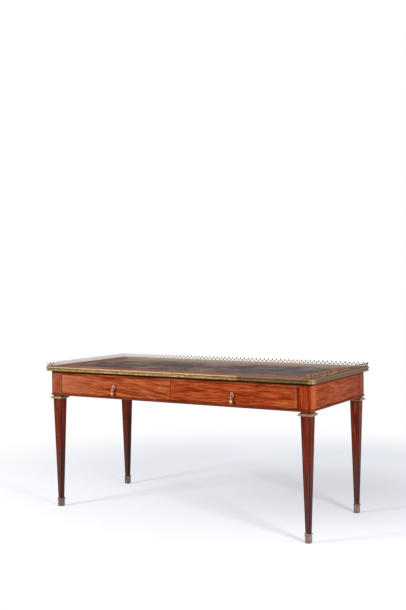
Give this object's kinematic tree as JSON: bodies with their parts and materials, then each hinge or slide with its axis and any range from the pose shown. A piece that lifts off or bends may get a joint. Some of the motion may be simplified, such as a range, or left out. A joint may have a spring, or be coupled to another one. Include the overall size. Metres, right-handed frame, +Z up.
{
  "type": "writing desk",
  "caption": "Flat-topped writing desk on square tapered legs, with frieze drawers, a leather top, a moulded metal edge and an openwork gallery.",
  "frame": {"origin": "on the floor under the middle of the top", "axes": "+X to the right of a person looking at the drawer side, +Y from the drawer side to the back, +Z up"},
  "size_m": [1.568, 0.732, 0.7826],
  "materials": {
    "leg_veneer": "red-brown polished veneer with a pale inlaid line",
    "frieze_veneer": "orange-red figured polished veneer",
    "drawer_veneer": "orange-red figured polished veneer",
    "top_veneer": "glossy red-brown crossbanded veneer",
    "carcase_wood": "plain sawn wood",
    "drawer_wood": "planed pale wood",
    "leather": "worn dark leather",
    "edge_brass": "moulded and gilded, worn",
    "gallery_brass": "cast and gilded",
    "collar_brass": "moulded and gilded",
    "shoe_bronze": "dull, darkened",
    "handle_brass": "cast and gilded",
    "lock_iron": "dark forged",
    "bolt_brass": "filed"
  },
  "bodies": {
    "desk": {"leg_front_left": "leg_veneer", "leg_front_right": "leg_veneer", "leg_back_left": "leg_veneer", "leg_back_right": "leg_veneer", "collar_front_left": "collar_brass", "collar_front_right": "collar_brass", "collar_back_left": "collar_brass", "collar_back_right": "collar_brass", "shoe_front_left": "shoe_bronze", "shoe_front_right": "shoe_bronze", "shoe_back_left": "shoe_bronze", "shoe_back_right": "shoe_bronze", "apron_right": "frieze_veneer", "apron_left": "frieze_veneer", "apron_back": "frieze_veneer", "rail_front_upper": "frieze_veneer", "rail_front_lower": "frieze_veneer", "drawer_divider": "carcase_wood", "runner_right": "carcase_wood", "runner_left": "carcase_wood", "runner_middle": "carcase_wood", "kicker_right": "carcase_wood", "kicker_left": "carcase_wood", "kicker_middle": "carcase_wood", "top_core": "carcase_wood", "border_front": "top_veneer", "border_back": "top_veneer", "border_right": "top_veneer", "border_left": "top_veneer", "leather_inset": "leather", "edge_front": "edge_brass", "edge_back": "edge_brass", "edge_right": "edge_brass", "edge_left": "edge_brass", "gallery_left": "gallery_brass", "gallery_right": "gallery_brass", "gallery_front_left": "gallery_brass", "gallery_front_right": "gallery_brass", "gallery_back": "gallery_brass"},
    "drawer_left": {"drawer_left_front": "drawer_veneer", "drawer_left_side_outer": "drawer_wood", "drawer_left_side_middle": "drawer_wood", "drawer_left_back": "drawer_wood", "drawer_left_bottom": "drawer_wood", "drawer_left_plate": "handle_brass", "drawer_left_post": "handle_brass", "drawer_left_lock": "lock_iron"},
    "drop_left": {"drawer_left_drop": "handle_brass"},
    "bolt_left": {"drawer_left_bolt": "bolt_brass"},
    "drawer_right": {"drawer_right_front": "drawer_veneer", "drawer_right_side_outer": "drawer_wood", "drawer_right_side_middle": "drawer_wood", "drawer_right_back": "drawer_wood", "drawer_right_bottom": "drawer_wood", "drawer_right_plate": "handle_brass", "drawer_right_post": "handle_brass", "drawer_right_lock": "lock_iron"},
    "drop_right": {"drawer_right_drop": "handle_brass"},
    "bolt_right": {"drawer_right_bolt": "bolt_brass"}
  },
  "joints": [
    {"name": "drawer_left_slide", "type": "slide", "parent": "desk", "child": "drawer_left", "axis": [0, -1, 0], "range_m": [0, 0.38]},
    {"name": "drop_left_hinge", "type": "hinge", "parent": "drawer_left", "child": "drop_left", "pos_m": [-0.34915, -0.3505, 0.6525], "axis": [-1, 0, 0], "range_deg": [0, 90]},
    {"name": "bolt_left_slide", "type": "slide", "parent": "drawer_left", "child": "bolt_left", "axis": [0, 0, 1], "range_m": [0, 0.007]},
    {"name": "drawer_right_slide", "type": "slide", "parent": "desk", "child": "drawer_right", "axis": [0, -1, 0], "range_m": [0, 0.38]},
    {"name": "drop_right_hinge", "type": "hinge", "parent": "drawer_right", "child": "drop_right", "pos_m": [0.34915, -0.3505, 0.6525], "axis": [-1, 0, 0], "range_deg": [0, 90]},
    {"name": "bolt_right_slide", "type": "slide", "parent": "drawer_right", "child": "bolt_right", "axis": [0, 0, 1], "range_m": [0, 0.007]}
  ]
}
